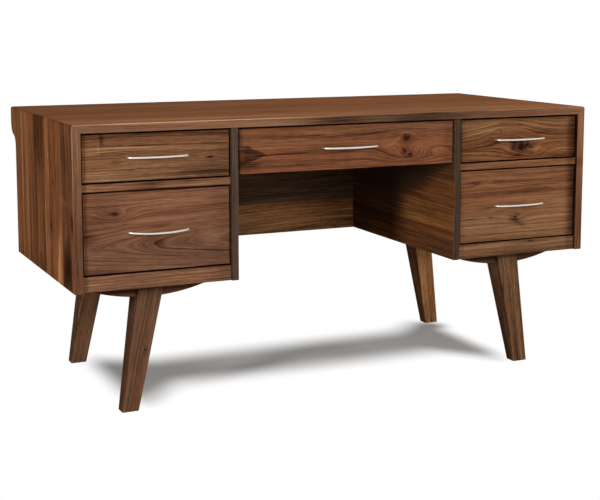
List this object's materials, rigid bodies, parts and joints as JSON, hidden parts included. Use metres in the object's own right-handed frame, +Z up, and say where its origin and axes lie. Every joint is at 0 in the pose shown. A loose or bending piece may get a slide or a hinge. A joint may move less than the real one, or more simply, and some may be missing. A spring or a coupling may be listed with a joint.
{
  "type": "writing desk with drawers",
  "caption": "Double-pedestal walnut writing desk with a mitred waterfall case, inset drawers on runners, bow pulls, a kneehole with a modesty panel, and splayed tapered legs on arched rails.",
  "frame": {"origin": "on the floor, under the middle of the outer box", "axes": "+X to the right of a person facing the drawers, +Y towards the back, +Z up"},
  "size_m": [1.524, 0.722, 0.762],
  "materials": {
    "walnut": "satin oiled walnut",
    "drawer_box_wood": "clear lacquered maple",
    "drawer_bottom_board": "birch plywood",
    "satin_nickel": "satin nickel",
    "zinc_steel": "zinc plated",
    "nylon": "matte brown nylon"
  },
  "bodies": {
    "desk": {"desk_top": "walnut", "modesty_panel": "walnut", "modesty_rail": "walnut", "leg_glides": "nylon", "cabinet_runners": "zinc_steel", "base_screws": "zinc_steel", "left_side_panel": "walnut", "left_kneehole_panel": "walnut", "left_pedestal_floor": "walnut", "left_pedestal_back": "walnut", "left_divider_rail": "walnut", "left_bottom_rail": "walnut", "left_front_leg": "walnut", "left_rear_leg": "walnut", "left_arched_rails": "walnut", "right_side_panel": "walnut", "right_kneehole_panel": "walnut", "right_pedestal_floor": "walnut", "right_pedestal_back": "walnut", "right_divider_rail": "walnut", "right_bottom_rail": "walnut", "right_front_leg": "walnut", "right_rear_leg": "walnut", "right_arched_rails": "walnut"},
    "left_top_drawer": {"left_top_drawer_front": "walnut", "left_top_drawer_sides": "drawer_box_wood", "left_top_drawer_ends": "drawer_box_wood", "left_top_drawer_bottom": "drawer_bottom_board", "left_top_drawer_pull": "satin_nickel", "left_top_drawer_runners": "zinc_steel"},
    "left_top_middle_members": {"left_top_middle_runners": "zinc_steel"},
    "left_bottom_drawer": {"left_bottom_drawer_front": "walnut", "left_bottom_drawer_sides": "drawer_box_wood", "left_bottom_drawer_ends": "drawer_box_wood", "left_bottom_drawer_bottom": "drawer_bottom_board", "left_bottom_drawer_pull": "satin_nickel", "left_bottom_drawer_runners": "zinc_steel"},
    "left_bottom_middle_members": {"left_bottom_middle_runners": "zinc_steel"},
    "centre_drawer": {"centre_drawer_front": "walnut", "centre_drawer_sides": "drawer_box_wood", "centre_drawer_ends": "drawer_box_wood", "centre_drawer_bottom": "drawer_bottom_board", "centre_drawer_pull": "satin_nickel", "centre_drawer_runners": "zinc_steel"},
    "centre_middle_members": {"centre_middle_runners": "zinc_steel"},
    "right_top_drawer": {"right_top_drawer_front": "walnut", "right_top_drawer_sides": "drawer_box_wood", "right_top_drawer_ends": "drawer_box_wood", "right_top_drawer_bottom": "drawer_bottom_board", "right_top_drawer_pull": "satin_nickel", "right_top_drawer_runners": "zinc_steel"},
    "right_top_middle_members": {"right_top_middle_runners": "zinc_steel"},
    "right_bottom_drawer": {"right_bottom_drawer_front": "walnut", "right_bottom_drawer_sides": "drawer_box_wood", "right_bottom_drawer_ends": "drawer_box_wood", "right_bottom_drawer_bottom": "drawer_bottom_board", "right_bottom_drawer_pull": "satin_nickel", "right_bottom_drawer_runners": "zinc_steel"},
    "right_bottom_middle_members": {"right_bottom_middle_runners": "zinc_steel"}
  },
  "joints": [
    {"name": "left_top_drawer_slide", "type": "slide", "parent": "desk", "child": "left_top_drawer", "axis": [0, -1, 0], "range_m": [0, 0.55]},
    {"name": "left_top_middle_slide", "type": "slide", "parent": "desk", "child": "left_top_middle_members", "axis": [0, -1, 0], "range_m": [0, 0.275]},
    {"name": "left_bottom_drawer_slide", "type": "slide", "parent": "desk", "child": "left_bottom_drawer", "axis": [0, -1, 0], "range_m": [0, 0.55]},
    {"name": "left_bottom_middle_slide", "type": "slide", "parent": "desk", "child": "left_bottom_middle_members", "axis": [0, -1, 0], "range_m": [0, 0.275]},
    {"name": "centre_drawer_slide", "type": "slide", "parent": "desk", "child": "centre_drawer", "axis": [0, -1, 0], "range_m": [0, 0.55]},
    {"name": "centre_middle_slide", "type": "slide", "parent": "desk", "child": "centre_middle_members", "axis": [0, -1, 0], "range_m": [0, 0.275]},
    {"name": "right_top_drawer_slide", "type": "slide", "parent": "desk", "child": "right_top_drawer", "axis": [0, -1, 0], "range_m": [0, 0.55]},
    {"name": "right_top_middle_slide", "type": "slide", "parent": "desk", "child": "right_top_middle_members", "axis": [0, -1, 0], "range_m": [0, 0.275]},
    {"name": "right_bottom_drawer_slide", "type": "slide", "parent": "desk", "child": "right_bottom_drawer", "axis": [0, -1, 0], "range_m": [0, 0.55]},
    {"name": "right_bottom_middle_slide", "type": "slide", "parent": "desk", "child": "right_bottom_middle_members", "axis": [0, -1, 0], "range_m": [0, 0.275]}
  ],
  "couplings": [
    {"joint": "left_top_middle_slide", "follows": "left_top_drawer_slide", "ratio": 0.5},
    {"joint": "left_bottom_middle_slide", "follows": "left_bottom_drawer_slide", "ratio": 0.5},
    {"joint": "centre_middle_slide", "follows": "centre_drawer_slide", "ratio": 0.5},
    {"joint": "right_top_middle_slide", "follows": "right_top_drawer_slide", "ratio": 0.5},
    {"joint": "right_bottom_middle_slide", "follows": "right_bottom_drawer_slide", "ratio": 0.5}
  ]
}
